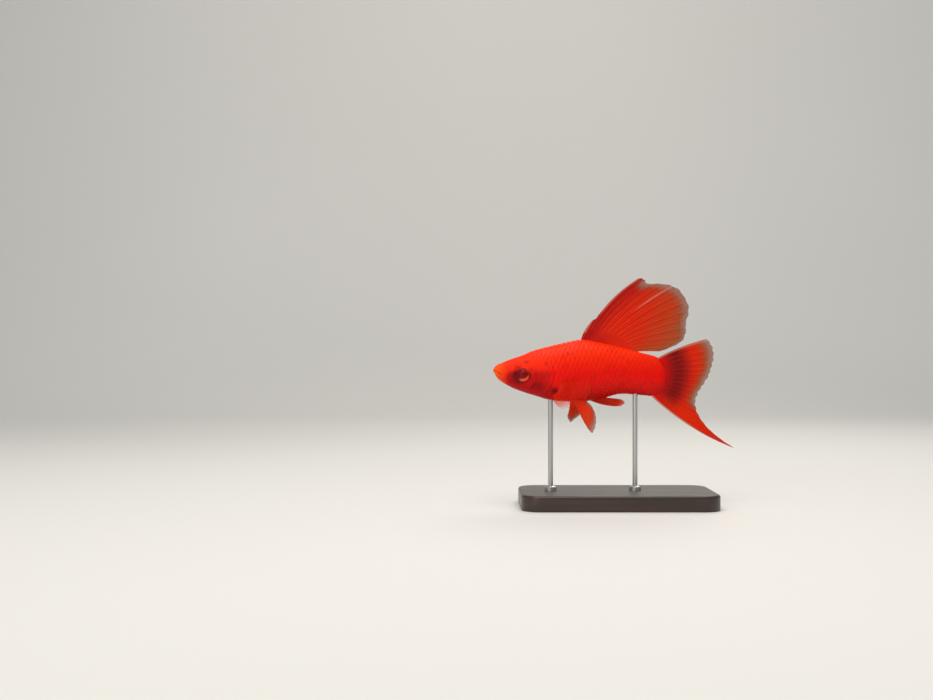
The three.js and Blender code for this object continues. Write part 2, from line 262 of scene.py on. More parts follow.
def relief(at, up, over_gills=True):
    """How far folds and edges of the skin stand out from the plain body. Without over_gills it is
    the level under the gill covers' rear edge, where the body's scales begin."""
    # The mouth: a slit between rounded lips, with a shallow groove round them
    distance, share, side = line_distance(MOUTH_LINE, at, up)
    strength = 1 - smooth(0.86, 1, share)
    out = -0.3 * bell(distance, 0.13) * strength
    out += np.where(side > 0, 0.15, 0.19) * bell(distance - 0.36, 0.24) * strength
    out -= 0.07 * bell(distance - 0.85, 0.2) * strength

    # The folds over the eye and round the cheek
    distance, share, _ = line_distance(BROW_LINE, at, up)
    out -= 0.09 * bell(distance, 0.2) * np.sin(np.pi * share)
    distance, share, side = line_distance(CHEEK_LINE, at, up)
    fade = smooth(0, 0.3, share) * smooth(1, 0.75, share)
    out -= fade * side * distance * 0.55 * bell(distance, 0.55)

    for nostril_at, nostril_up, radius in NOSTRILS:
        away = np.hypot(at - nostril_at, up - nostril_up)
        out += 0.04 * bell(away - 1.4 * radius, 0.16) - 0.2 * bell(away, 0.8 * radius)

    # The eye's opening, its raised rim and the hollow round it, deeper in front
    away = np.hypot(at - EYE_AT, up - EYE_LEVEL)
    out -= 0.9 * (1 - smooth(LID_RADIUS - 0.2, LID_RADIUS, away))
    out += 0.12 * bell(away - LID_RADIUS - 0.2, 0.22)
    ahead = smooth(0, 1, -(at - EYE_AT) / np.maximum(away, 0.1))
    out -= (0.05 + 0.1 * ahead) * bell(away - LID_RADIUS - 0.85, 0.3)

    # The gill cover's rear edge
    distance, share, side = line_distance(GILL_LINE, at, up)
    ends = smooth(0.1, 0.35, share) * smooth(0.78, 0.6, share)
    if over_gills:
        out += ends * smooth(-0.1, 0.1, side * distance) * 0.24 * bell(distance, 2.2)
    out -= ends * smooth(0.1, -0.1, side * distance) * 0.14 * bell(distance, 0.9)

    # The lobe that carries the pectoral fin
    lobe = np.hypot((at - 20.0) / 1.2, (up + 6.5) / 1.9)
    out += 0.4 * bell(lobe, 0.8)
    return out


def gill_edge(up):
    """How far back the gill covers' rear edge lies, at a level."""
    dots = evenly(GILL_LINE, np.linspace(0, 1, 60))
    return np.interp(up, dots[:, 1], dots[:, 0])


def skin_surface(at, turn, out=0.0, over_gills=True):
    """The folded skin, in the model's frame, further out by `out`."""
    _, _, up = section(at, turn)
    return fish(*section(at, turn, relief(at, up, over_gills) + out))


def girth_table():
    """At places along the body, the turn at even shares of the way round, from the belly over the
    left side, and the girth."""
    places = np.linspace(0, FLESH_LENGTH, 141)
    turns = np.linspace(-0.5 * np.pi, 1.5 * np.pi, 721)
    shares = np.linspace(0, 1, 257)
    rows, girths = [], []
    for place in places:
        _, left, up = section(np.full(turns.shape, place), turns)
        arc = np.concatenate([[0], np.cumsum(np.hypot(np.diff(left), np.diff(up)))])
        girths.append(arc[-1])
        rows.append(np.interp(shares, arc / max(arc[-1], 1e-6), turns))
    return places, np.array(rows), np.array(girths)


GIRTH_PLACES, GIRTH_TURNS, GIRTHS = girth_table()


def turn_at(at, share):
    """The turn at a share of the way round the body, from the belly over the left side."""
    share = share % 1
    row = np.clip(at / FLESH_LENGTH, 0, 1) * (len(GIRTH_PLACES) - 1)
    column = share * (GIRTH_TURNS.shape[1] - 1)
    i = np.minimum(row.astype(int), len(GIRTH_PLACES) - 2)
    j = np.minimum(column.astype(int), GIRTH_TURNS.shape[1] - 2)
    a, b = row - i, column - j
    low = GIRTH_TURNS[i, j] * (1 - b) + GIRTH_TURNS[i, j + 1] * b
    high = GIRTH_TURNS[i + 1, j] * (1 - b) + GIRTH_TURNS[i + 1, j + 1] * b
    return low * (1 - a) + high * a


def share_at(at, turn):
    """The share of the way round the body at a turn, the inverse of turn_at."""
    turn = (turn + 0.5 * np.pi) % (2 * np.pi) - 0.5 * np.pi
    row = np.clip(at / FLESH_LENGTH, 0, 1) * (len(GIRTH_PLACES) - 1)
    i = np.rint(row).astype(int)
    shares = np.linspace(0, 1, GIRTH_TURNS.shape[1])
    found = np.zeros(at.shape)
    for k in np.unique(i):
        here = i == k
        found[here] = np.interp(turn[here], GIRTH_TURNS[k], shares)
    return found


def unwrap(at, share):
    """Places on an unwrap of the body's own shape, cut open along the belly."""
    girth = np.interp(at, GIRTH_PLACES, GIRTHS)
    return np.stack([0.5 + (share - 0.5) * girth / 60, 0.03 + at / 60], axis=-1)


def fin_surface(fin, ray, share, flip=1):
    """The middle of a fin, in the model's frame. flip is -1 for a mirrored fin."""
    root = evenly(fin["roots"], ray)
    run = evenly(fin["tips"], ray) - root
    before, after = np.maximum(ray - NUDGE, 0), np.minimum(ray + NUDGE, 1)
    across = np.zeros(run.shape)
    for line in (fin["roots"], fin["tips"]):
        across += evenly(line, after) - evenly(line, before)
    across -= run * (np.sum(across * run, -1) / np.sum(run * run, -1))[..., None]
    across /= np.linalg.norm(across, axis=-1, keepdims=True)
    bow = evenly(np.reshape(fin["bow"], (-1, 1)), ray)[..., 0]
    bend = -4 * share * (1 - share) * bow
    place = root + run * share[..., None] + across * bend[..., None]
    return fish(place[..., 0], flip * place[..., 1], place[..., 2])


def fin_frame(fin, ray, share, flip=1):
    """Points of a fin's middle, and the directions that face out of it and lie across its rays."""
    point = fin_surface(fin, ray, share, flip)
    over = fin_surface(fin, np.minimum(ray + NUDGE, 1), share, flip)
    over -= fin_surface(fin, np.maximum(ray - NUDGE, 0), share, flip)
    along = fin_surface(fin, ray, share + NUDGE, flip) - fin_surface(fin, ray, share - NUDGE, flip)
    along /= np.linalg.norm(along, axis=-1, keepdims=True)
    facing = np.cross(over, along)
    facing /= np.linalg.norm(facing, axis=-1, keepdims=True)
    return point, facing, np.cross(along, facing)


# Meshes and pieces


def mesh_points(bm):
    return np.array([vertex.co for vertex in bm.verts])


def move_points(bm, places):
    for vertex, place in zip(bm.verts, places):
        vertex.co = place


def finished_mesh(bm, name, places=None):
    """Turns a bmesh into a mesh, with its points moved to `places`."""
    mesh = bpy.data.meshes.new(name)
    bm.to_mesh(mesh)
    bm.free()
    if places is not None:
        mesh.vertices.foreach_set("co", np.asarray(places, np.float32).ravel())
    mesh.update()
    return mesh


def repeated(template, count):
    """A bmesh with `count` copies of a template mesh, one after the other."""
    bm = bmesh.new()
    for _ in range(count):
        bm.from_mesh(template)
    return bm


def add_attribute(mesh, name, values):
    layer = mesh.attributes.new(name, "FLOAT", "POINT")
    layer.data.foreach_set("value", np.asarray(values, np.float32).ravel())


def add_bake_map(mesh, places):
    """A UV map with a place for each vertex of each face."""
    layer = mesh.uv_layers.new(name="OFBake")
    layer.data.foreach_set("uv", np.asarray(places, np.float32).ravel())


def loop_vertices(mesh):
    index = np.zeros(len(mesh.loops), int)
    mesh.loops.foreach_get("vertex_index", index)
    return index


def add_object(mesh, material):
    mesh.materials.append(material)
    mesh.shade_smooth()
    added = bpy.data.objects.new(mesh.name, mesh)
    bpy.context.scene.collection.objects.link(added)
    return added


def add_piece(mesh, material, nodes=()):
    piece = add_object(mesh, material)
    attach(piece, "root")
    if nodes:
        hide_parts(*nodes)
    return piece


# Materials


class Shade:
    """A socket of a material. Arithmetic on it adds Math nodes."""

    def __init__(self, finish, socket):
        self.finish = finish
        self.socket = socket

    def _math(self, operation, first, second):
        settings = {"operation": operation}
        return self.finish.node("ShaderNodeMath", settings, {0: first, 1: second})

    def __add__(self, other):
        return self._math("ADD", self, other)

    __radd__ = __add__

    def __sub__(self, other):
        return self._math("SUBTRACT", self, other)

    def __rsub__(self, other):
        return self._math("SUBTRACT", other, self)

    def __mul__(self, other):
        return self._math("MULTIPLY", self, other)

    __rmul__ = __mul__

    def __truediv__(self, other):
        return self._math("DIVIDE", self, other)

    def __pow__(self, other):
        return self._math("POWER", self, other)

    def most(self, other):
        return self._math("MAXIMUM", self, other)

    def sine(self):
        return self.finish.node("ShaderNodeMath", {"operation": "SINE"}, {0: self})

    def rise(self, low, high):
        """0 at low and 1 at high, with a soft change between them; low may be above high."""
        settings = {"interpolation_type": "SMOOTHSTEP"}
        return self.finish.node(
            "ShaderNodeMapRange", settings, {0: self, 1: low, 2: high, 3: 0.0, 4: 1.0}
        )

    def hump(self, middle, width):
        """1 at middle, falling softly to 0 at `width` from it."""
        away = self.finish.node("ShaderNodeMath", {"operation": "ABSOLUTE"}, {0: self - middle})
        return away.rise(width, 0.0)


class Finish:
    """Builds one procedural material round a Principled shader."""

    def __init__(self, name, **constants):
        self.material = bpy.data.materials.new(name)
        self.material.use_nodes = True
        self.tree = self.material.node_tree
        self.shader = self.tree.nodes["Principled BSDF"]
        for socket, value in constants.items():
            self.shader.inputs[socket.replace("_", " ")].default_value = value

    def node(self, kind, settings=None, inputs=None, output=0):
        """Adds a node: settings are set first, and inputs are values or links by index or name."""
        node = self.tree.nodes.new(kind)
        for key, value in (settings or {}).items():
            setattr(node, key, value)
        for key, value in (inputs or {}).items():
            self.feed(node.inputs[key], value)
        return Shade(self, node.outputs[output])

    def feed(self, socket, value):
        if isinstance(value, Shade):
            self.tree.links.new(value.socket, socket)
        elif socket.type == "RGBA":
            socket.default_value = (*value, 1.0)
        else:
            socket.default_value = value

    def set(self, **values):
        """Feeds sockets of the shader, named with _ for a space."""
        for socket, value in values.items():
            self.feed(self.shader.inputs[socket.replace("_", " ")], value)

    def mix(self, share, low, high):
        """Goes from the colour low to the colour high."""
        settings = {"data_type": "RGBA", "clamp_factor": True}
        return self.node("ShaderNodeMix", settings, {0: share, 6: low, 7: high}, output=2)

    def layers(self, colour, *layers):
        """Lays colours over a first one, each as the share that it covers and the colour."""
        for share, over in layers:
            colour = self.mix(share, colour, over)
        return colour

    def attribute(self, name):
        settings = {"attribute_name": name, "attribute_type": "GEOMETRY"}
        return self.node("ShaderNodeAttribute", settings, output="Fac")

    def place(self):
        """Object coordinates, as a vector."""
        return self.node("ShaderNodeTexCoord", output="Object")

    def measures(self):
        """Back from the snout and up from its level, in the fish's millimetres."""
        parts = self.node("ShaderNodeSeparateXYZ", inputs={0: self.place()})
        height = Shade(self, parts.socket.node.outputs["Z"])
        return parts * (1 / MM) + LENGTH / 2, height * (1 / MM) - SWIM_HEIGHT

    def noise(self, per_metre, detail=2.0, roughness=0.5, stretch=(1, 1, 1)):
        """Noise with so many grains to the metre, stretched along the axes."""
        settings = {"vector_type": "POINT"}
        scale = Vector(stretch) * per_metre
        vector = self.node("ShaderNodeMapping", settings, {"Vector": self.place(), "Scale": scale})
        inputs = {"Vector": vector, "Scale": 1.0, "Detail": detail, "Roughness": roughness}
        return self.node("ShaderNodeTexNoise", inputs=inputs)

    def bump(self, height, depth):
        """Feeds the shader's normal from a height from 0 to 1, `depth` metres deep."""
        inputs = {"Height": height, "Distance": depth, "Strength": 1.0}
        self.set(Normal=self.node("ShaderNodeBump", inputs=inputs))


def paint(red, green, blue):
    """A colour as it is mixed on a screen, from 0 to 255, as light."""
    light = []
    for share in (red / 255, green / 255, blue / 255):
        light.append(share / 12.92 if share <= 0.04045 else ((share + 0.055) / 1.055) ** 2.4)
    return tuple(light)


def distance_to(centre, at, up, tall=1.0):
    return ((at - centre[0]) ** 2 + ((up - centre[1]) / tall) ** 2) ** 0.5


def spot(at, up, centre, radius, tall=1.0):
    """1 in the middle of a round spot and 0 at its radius."""
    return distance_to(centre, at, up, tall).rise(radius, radius * 0.25)


def tail_band(at, up, cloud):
    """How dark the tail is: a band that bends forward above and below, softer in front."""
    bent = at + (up + 1) ** 2 * 0.035 + (cloud - 0.5) * 1.2
    return bent.rise(52.4, 59.4) * bent.rise(66.0, 60.0) * 0.88


# Dark marks of the head and the body behind it, and the painted shadow at the pectoral fin's base,
# the one at (19.5, -7.2): back and up, radius, and how dark they are
DARK_MARKS_AND_SHADOW = [
    ((10.6, 2.1), 1.0, 0.42),
    ((12.0, -0.3), 1.1, 0.4),
    ((7.3, 1.5), 0.9, 0.22),
    ((16.8, 1.4), 1.0, 0.3),
    ((17.6, -1.4), 1.3, 0.22),
    ((19.5, -7.2), 1.9, 0.95),
    ((22.2, 3.6), 1.0, 0.22),
    ((23.7, 4.6), 1.0, 0.22),
]


def flesh_colour(finish, colours):
    """The markings that the skin and its scales share, with painted light and shade."""
    at, up = finish.measures()
    cloud = finish.noise(260, 3)
    grain = finish.noise(1500, 3, 0.6)
    at += (finish.noise(700, 2) - 0.5) * 1.2
    up += (finish.noise(650, 2) - 0.5) * 1.2
    # Painted light and shade from above: the layers laid by level make the back lighter and the
    # belly darker, over the fish's own red.
    level = up + (cloud - 0.5) * 2.2
    lit_back_level = level + at.rise(26, 6) * 3.5
    # The underside of the head is darker: its own deeper red with painted shade under the head.
    lower_head_shade = at.rise(19.5, 15.5) * level.rise(0.2, -2.2) * at.rise(2.2, 6.0)

    # A painted shade in the hollow round the eye: wider and darker in front, where the hollow is
    # deeper, and darker below.
    away = distance_to((EYE_AT, EYE_LEVEL), at, up)
    front = (EYE_AT - at).rise(-1.5, 2.5)
    ring = away.rise(LID_RADIUS + 0.55 + front * 1.7, LID_RADIUS + 0.1 + front * 0.3)
    low = (up - EYE_LEVEL).rise(2.2, 0.2) * 0.45 + 0.3

    # Dark marks, with a painted shadow at the pectoral fin's base among them
    marks = spot(at, up, (14.0, -5.6), 2.8, 0.7) * 0.45
    for centre, radius, strength in DARK_MARKS_AND_SHADOW:
        marks = marks.most(spot(at, up, centre, radius) * strength)
    freckles = grain.rise(0.6, 0.75) * up.rise(-3.0, 2.5) * at.rise(40, 14) * 0.35

    colour = finish.layers(
        colours.belly,
        # painted light and shade from above: lighter towards the back, darker towards the belly
        (level.rise(-11, -3), colours.flank),
        (lit_back_level.rise(-2.5, 7.5), colours.back),
        (tail_band(at, up, cloud), colours.crimson),
        # painted shade under the head, over its own deeper red
        (lower_head_shade * 0.72, colours.cheek),
        (at.rise(5.2, 0.5) * 0.9, colours.snout),
        # painted shade of the eye's hollow, in front of the eye and round it
        (spot(at, up, (5.9, -2.9), 2.5, 1.1) * 0.35, colours.crimson),
        (ring * (low + front * 0.3), colours.crimson),
        # dark marks, and the painted shadow at the pectoral fin's base
        (marks, colours.crimson),
        (freckles, colours.crimson),
    )
    return colour, cloud, grain


def skin_finish(colours):
    finish = Finish("skin_red", Specular_IOR_Level=0.1, Coat_Roughness=0.2)
    colour, cloud, grain = flesh_colour(finish, colours)
    finish.set(Base_Color=colour, Roughness=0.36 + cloud * 0.16, Coat_Weight=0.01 + cloud * 0.03)
    finish.bump(grain, 0.00003)
    return finish.material


def scale_finish(colours):
    finish = Finish("scale_red", Specular_IOR_Level=0.11, Coat_Roughness=0.2)
    colour, cloud, grain = flesh_colour(finish, colours)
    along = finish.attribute("along")
    tone = finish.attribute("tone")
    _, up = finish.measures()
    colour = finish.layers(
        colour,
        # a painted highlight on each scale's raised free edge
        (along.rise(0.84, 1.0) * 0.16, colours.back),
        # darker pigment between the scales, with painted shade just behind the free edge of the
        # scale in front, stronger on the back
        (along.rise(0.62, 0.44) * (0.14 + up.rise(-1, 5) * 0.2), colours.crimson),
        (tone.rise(0.75, 1.0) * 0.14, colours.crimson),
    )
    finish.set(Base_Color=colour, Roughness=0.34 + tone * 0.1, Coat_Weight=0.02 + cloud * 0.04)
    rings = (along * 90.0).sine() * 0.25 + grain
    finish.bump(rings, 0.000006)
    return finish.material


# Settings


def colour_setting(name, description, colour):
    return FloatVectorProperty(
        name=name, description=description, subtype="COLOR", size=3, min=0, max=1, default=colour
    )


class SwordtailColours(bpy.types.PropertyGroup):
    # Back, flank, belly and cheek are laid by height: over the fish's own red they also carry
    # painted light on the back and painted shade on the belly and lower head.
    back: colour_setting("Back", "Colour of the back", paint(255, 48, 0))
    flank: colour_setting("Flank", "Colour of the flanks", paint(238, 10, 0))
    belly: colour_setting("Belly", "Colour of the belly", paint(182, 12, 8))
    cheek: colour_setting("Cheek", "Colour of the lower head", paint(170, 4, 10))
    snout: colour_setting("Snout", "Colour of the lips and snout", paint(255, 92, 14))
    # Crimson colours the dark marks and the tail's band, and also the painted shade round the eye
    # and the painted shadow at the pectoral fin's base.
    crimson: colour_setting("Marks", "Colour of dark marks", paint(112, 0, 14))
    fin: colour_setting("Fins", "Colour of the fins", paint(226, 36, 0))
    ray: colour_setting("Rays", "Colour of the fin rays", paint(240, 74, 16))
    brown: colour_setting("Thin Fins", "Colour where the fins thin out", paint(176, 84, 24))
    fringe: colour_setting("Fringe", "Colour of the fins' thin margins", paint(150, 92, 52))
    edge: colour_setting("Fin Edges", "Colour of the fins' pale front edges", paint(214, 138, 118))
    wood: colour_setting("Wood", "Colour of the stand's base", paint(58, 36, 24))


def size_setting(name, description, millimetres):
    return FloatProperty(
        name=name,
        description=description,
        default=millimetres * MM,
        subtype="DISTANCE",
        unit="LENGTH",
    )


class SwordtailSizes(bpy.types.PropertyGroup):
    scale_pitch: size_setting("Scale Pitch", "Distance from a scale to the next behind it", 1.5)
    scale_lift: size_setting("Scale Lift", "Height of a scale's free edge over its root", 0.15)
    web_thickness: size_setting(
        "Web Thickness", "Thickness of the fins between the rays, at their margin", 0.07
    )


# Skin


def sphere_places(points):
    """Turns points of a sphere into places along the body and turns round it."""
    x, y, z = (points / np.linalg.norm(points, axis=1, keepdims=True)).T
    share = np.arccos(np.clip(z, -1, 1)) / np.pi
    share = share**2 / (share**2 + 2 * (1 - share) ** 2)
    return FLESH_LENGTH * share, np.arctan2(y, x)


class SWORDTAIL_OT_skin(bpy.types.Operator):
    """Models the whole skin, with its mouth, nostrils, eye openings and gill covers"""

    bl_idname = "swordtail.skin"
    bl_label = "Skin"

    def execute(self, context):
        bm = bmesh.new()
        bmesh.ops.create_uvsphere(bm, u_segments=SKIN_AROUND, v_segments=SKIN_RINGS, radius=1)
        at, turn = sphere_places(mesh_points(bm))
        _, _, up = section(at, turn)
        fine = np.hypot(at - EYE_AT, up - EYE_LEVEL) < 3.3
        fine |= (line_distance(MOUTH_LINE, at, up)[0] < 0.9) & (at > 0.15)
        fine |= line_distance(GILL_LINE, at, up)[0] < 0.45
        for nostril_at, nostril_up, radius in NOSTRILS:
            fine |= np.hypot(at - nostril_at, up - nostril_up) < 3 * radius
        edges = [e for e in bm.edges if fine[e.verts[0].index] and fine[e.verts[1].index]]
        bmesh.ops.subdivide_edges(bm, edges=edges, cuts=1, use_grid_fill=True)

        at, turn = sphere_places(mesh_points(bm))
        mesh = finished_mesh(bm, "skin", skin_surface(at, turn, -COAT_DEPTH))
        share = share_at(at, turn)[loop_vertices(mesh)]
        at = at[loop_vertices(mesh)]
        starts = np.zeros(len(mesh.polygons), int)
        totals = np.zeros(len(mesh.polygons), int)
        mesh.polygons.foreach_get("loop_start", starts)
        mesh.polygons.foreach_get("loop_total", totals)
        spread = np.maximum.reduceat(share, starts) - np.minimum.reduceat(share, starts)
        across_seam = np.repeat(spread > 0.5, totals)
        share = np.where(across_seam & (share < 0.5), share + 1, share)
        add_bake_map(mesh, unwrap(at, share))

        nodes = ["head", "jaw_lower", "gill_cover_left", "gill_cover_right", "trunk", "tail_stock"]
        add_piece(mesh, skin_finish(context.scene.swordtail_colours), nodes)
        return {"FINISHED"}


# Scales


def scale_template():
    """One scale as a closed slab: x from root to free edge, y across, z from under the skin to
    the top."""
    bm = bmesh.new()
    bmesh.ops.create_grid(bm, x_segments=8, y_segments=8, size=1)
    bmesh.ops.solidify(bm, geom=bm.faces[:], thickness=1)
    bm.normal_update()
    low = min(vertex.co.z for vertex in bm.verts)
    under = [f for f in bm.faces if all(abs(v.co.z - low) < 1e-4 for v in f.verts)]
    bmesh.ops.dissolve_faces(bm, faces=under, use_verts=False)
    for vertex in bm.verts:
        vertex.co.z = 0 if abs(vertex.co.z - low) < 1e-4 else 1
    return finished_mesh(bm, "scale_template")


def scale_roots(pitch):
    """The roots of all scales: places along the body, shares round it, lengths and lifts."""
    places = np.linspace(6, FLESH_LENGTH, 400)
    step = pitch * np.interp(places, [6, 18, 40, 56], [0.85, 1.0, 1.0, 0.72])
    count = np.concatenate([[0], np.cumsum(np.diff(places) / step[1:])])
    rows = np.arange(SCALE_ROWS)
    columns = np.arange(int(count[-1]))
    column, row = np.meshgrid(columns, rows)
    number = (column + 0.5 * (row % 2)).ravel()
    share = (row / SCALE_ROWS).ravel()
    at = np.interp(number, count, places)
    length = 1.95 * np.interp(at, places, step)
    _, _, up = section(at, turn_at(at, share))
    behind = at - gill_edge(up)
    body = behind > -2.4
    nape = smooth(7.0, 11.0, at) * smooth(2.0, 3.6, up - 0.12 * (at - 9))
    cover = smooth(13.0, 14.0, at) * smooth(-8.5, -7.0, up) * smooth(2.8, 1.6, up) * 0.6
    cover *= behind + length < -0.25
    lift = np.where(body, 1.0, np.maximum(nape, cover)) * (0.35 + 0.65 * smooth(56, 50, at))
    keep = (lift > 0.34) & (at + length < FLESH_LENGTH - 0.35)
    tucked = body & (up < 4.0)
    return at[keep], share[keep], length[keep], lift[keep], tucked[keep]


class SWORDTAIL_OT_scales(bpy.types.Operator):
    """Covers the body in overlapping scales, in rows that run from head to tail"""

    bl_idname = "swordtail.scales"
    bl_label = "Scales"

    def execute(self, context):
        sizes = context.scene.swordtail_sizes
        random = np.random.default_rng(SEED)
        template = scale_template()
        shape = np.array([vertex.co for vertex in template.vertices])
        corners = loop_vertices(template)
        root_at, root_share, length, lift, tucked = scale_roots(sizes.scale_pitch / MM)
        material = scale_finish(context.scene.swordtail_colours)
        for name, side in (("scales_left", root_share <= 0.5), ("scales_right", root_share > 0.5)):
            at, share, long, rise = root_at[side], root_share[side], length[side], lift[side]
            count = len(at)
            under = np.repeat(tucked[side], len(shape))
            tone = random.random(count)
            turned = random.normal(0, 0.02, count)
            mesh = finished_mesh(repeated(template, count), name)
            along = (shape[:, 0] + 1) / 2
            across = shape[:, 1]
            # The free edge bows back in the middle, and the sides close in over the root.
            reach = 1 - 0.34 * across**2 - 0.08 * across**4
            back = along * reach
            wide = across * (0.82 + 0.18 * smooth(0, 0.35, along))
            top = sizes.scale_lift / MM * back - SCALE_ROOT_DEPTH
            top -= 0.035 * smooth(0.9, 1.0, along) + 0.03 * across**4
            height = np.where(shape[:, 2] > 0.5, top, -SCALE_UNDERSIDE)
            width = SCALE_HALF_WIDTH / SCALE_ROWS
            at_all = at[:, None] + long[:, None] * back
            share_all = share[:, None] + width * wide + turned[:, None] * width * along * 2
            out_all = -COAT_DEPTH + height * rise[:, None] - 0.03 * (1 - rise[:, None])
            measures = at_all.ravel(), turn_at(at_all, share_all).ravel(), out_all.ravel()
            places = skin_surface(*measures)
            places[under] = skin_surface(*(m[under] for m in measures), over_gills=False)
            mesh.vertices.foreach_set("co", places.astype(np.float32).ravel())
            add_attribute(mesh, "along", np.tile(along, count))
            add_attribute(mesh, "tone", np.repeat(tone, len(shape)))
            patch = np.stack([across, along * 2 - 1], -1)[corners] * PATCH / 2
            bake = unwrap(at, share)[:, None, :] + patch[None]
            add_bake_map(mesh, bake)
            mesh.update()
            add_piece(mesh, material)
        return {"FINISHED"}


# Eyes


def eye_finish():
    finish = Finish("eye_wet", Specular_IOR_Level=0.12, Coat_Roughness=0.06, Coat_Weight=0.03)
    at, up = finish.measures()
    ring = distance_to((EYE_AT, EYE_LEVEL), at, up)
    pupil = distance_to((EYE_AT + 0.05, EYE_LEVEL + 0.25), at, up)
    fleck = finish.noise(2600, 3, 0.6)
    # The pale crescent is painted light: the iris round the pupil is painted pale pink below and
    # behind it, as if lit there, and stays dark above and in front as shade.
    below = (at - EYE_AT) * 0.39 - (up - EYE_LEVEL) * 0.92 + (fleck - 0.5) * 0.4
    rim = pupil.rise(1.22, 1.4) * ring.rise(2.15, 1.85)
    rear = ring.hump(1.72, 0.22) * at.rise(EYE_AT - 0.2, EYE_AT + 1.0)
    pale = below.rise(0.3, 1.5).most(rear * 0.45)
    colour = finish.layers(
        paint(92, 0, 16),
        (fleck, paint(134, 6, 16)),
        # painted light: the pale crescent on the iris
        (rim * pale, paint(255, 96, 74)),
        (pupil.rise(1.26, 1.12), paint(136, 0, 2)),
    )
    finish.set(Base_Color=colour, Roughness=0.16 + fleck * 0.08)
    return finish.material


class SWORDTAIL_OT_eyes(bpy.types.Operator):
    """Models both eyes, each a flattened ball with a raised lens"""

    bl_idname = "swordtail.eyes"
    bl_label = "Eyes"

    def execute(self, context):
        material = eye_finish()
        for name, side in (("left", 1), ("right", -1)):
            bm = bmesh.new()
            bmesh.ops.create_uvsphere(bm, u_segments=96, v_segments=64, radius=1)
            x, y, z = mesh_points(bm).T
            ring = np.hypot(x, y) * EYE_RADIUS
            depth = EYE_DEPTH * z
            # The lens stands out over the pupil, and the iris is a little hollow round it.
            lens = 0.16 * (1 - smooth(0.95, 1.35, ring)) - 0.05 * bell(ring - 1.55, 0.3)
            depth = np.where(z > 0, depth + lens, depth)
            places = fish(
                EYE_AT + x * EYE_RADIUS, side * (EYE_OUT + depth), EYE_LEVEL + y * EYE_RADIUS
            )
            if side > 0:
                bmesh.ops.reverse_faces(bm, faces=bm.faces[:])
            mesh = finished_mesh(bm, "eye_ball_" + name, places)
            add_piece(mesh, material, ["eye_" + name])
        return {"FINISHED"}


# Fins


def slab_template(columns, rows):
    """A closed slab from 0 to 1 in x and y, with z from -1 to 1."""
    bm = bmesh.new()
    bmesh.ops.create_grid(bm, x_segments=columns, y_segments=rows, size=0.5)
    bmesh.ops.solidify(bm, geom=bm.faces[:], thickness=1)
    middle = sum(vertex.co.z for vertex in bm.verts) / len(bm.verts)
    for vertex in bm.verts:
        vertex.co.x += 0.5
        vertex.co.y += 0.5
        vertex.co.z = 1 if vertex.co.z > middle else -1
    return bm


def fin_finish(name, colours, build):
    """A fin's finish with its noise, its attributes, its colour and how see-through it is."""
    finish = Finish(name, Specular_IOR_Level=0.12)
    ray = finish.attribute("ray")
    share = finish.attribute("share")
    cloud = finish.noise(300, 3)
    return finish, cloud, ray, share, *build["colour"](finish, colours, ray, share, cloud)


def web_finish(name, colours, build):
    """The thin skin between the rays, see-through towards the margin."""
    finish, cloud, ray, _, colour, clear = fin_finish(name, colours, build)
    streak = (ray * (build["rays"][0] * 4 * math.pi)).sine() * 0.5 + 0.5
    colour = finish.mix(streak * 0.3, colour, colours.crimson)
    finish.set(Base_Color=colour, Roughness=0.42 + cloud * 0.15, Alpha=1.0 - clear)
    finish.bump(streak * 0.6 + cloud * 0.4, 0.00004)
    return finish.material


def ray_finish(name, colours, build):
    """The rays, a little paler than the web."""
    finish, cloud, _, share, colour, clear = fin_finish(name, colours, build)
    joints = (share * build["joints"]).sine() * 0.5 + 0.5
    colour = finish.mix(build["pale"] + joints * 0.08, colour, colours.ray)
    finish.set(Base_Color=colour, Roughness=0.38 + cloud * 0.1, Alpha=1.0 - clear * build["faint"])
    return finish.material


def dorsal_colour(finish, colours, ray, share, cloud):
    """Crimson in front with a pale edge, orange in the middle, thin and brown behind."""
    thin = (share * 0.8 + ray * 0.75 + (cloud - 0.5) * 0.35).rise(0.6, 1.5)
    front = (ray + (cloud - 0.5) * 0.1).rise(0.36, 0.04)
    base = share.rise(0.24, 0.02) * ray.rise(0.7, 0.2) * 0.7
    fringe = (share + (cloud - 0.5) * 0.06).rise(0.8, 1.0) * ray.rise(0.03, 0.12)
    edge = ray.rise(0.034, 0.018) * share.rise(0.34, 0.44)
    pale_ray = ray.hump(0.35, 0.016) * share.rise(0.45, 0.7) * 0.5
    colour = finish.layers(
        colours.fin,
        (thin, colours.brown),
        (front.most(base) * 0.85, colours.cheek),
        (fringe * 0.9, colours.fringe),
        ((edge * 0.9).most(pale_ray), colours.edge),
    )
    return colour, (thin * 0.22).most(fringe * 0.5)


def caudal_colour(finish, colours, ray, share, cloud):
    """A dark band near the root, orange behind it, a thin brown margin and a bright sword."""
    upper = ray.rise(0.74, 0.62)
    thin = (share + (cloud - 0.5) * 0.1).rise(0.6, 0.95) * upper
    band = tail_band(*finish.measures(), cloud) * (ray.rise(0.9, 0.6) * 0.7 + 0.3)
    fringe = (share + (cloud - 0.5) * 0.05).rise(0.7, 0.98) * upper
    rear = share.rise(0.9, 1.0) * ray.rise(0.62, 0.7) * 0.5
    lower = ray.rise(0.945, 0.972)
    colour = finish.layers(
        colours.fin,
        (thin * 0.7, colours.brown),
        (ray.rise(0.62, 0.8) * 0.35, colours.back),
        (share.rise(0.25, 0.05), colours.flank),
        (band, colours.crimson),
        (fringe.most(rear) * 0.85, colours.fringe),
        (lower * share.rise(0.7, 0.45), colours.edge),
        (ray.rise(0.028, 0.016) * 0.9, colours.edge),
    )
    return colour, (fringe * 0.55).most(rear * 0.6).most(lower * share.rise(0.4, 0.6) * 0.3)


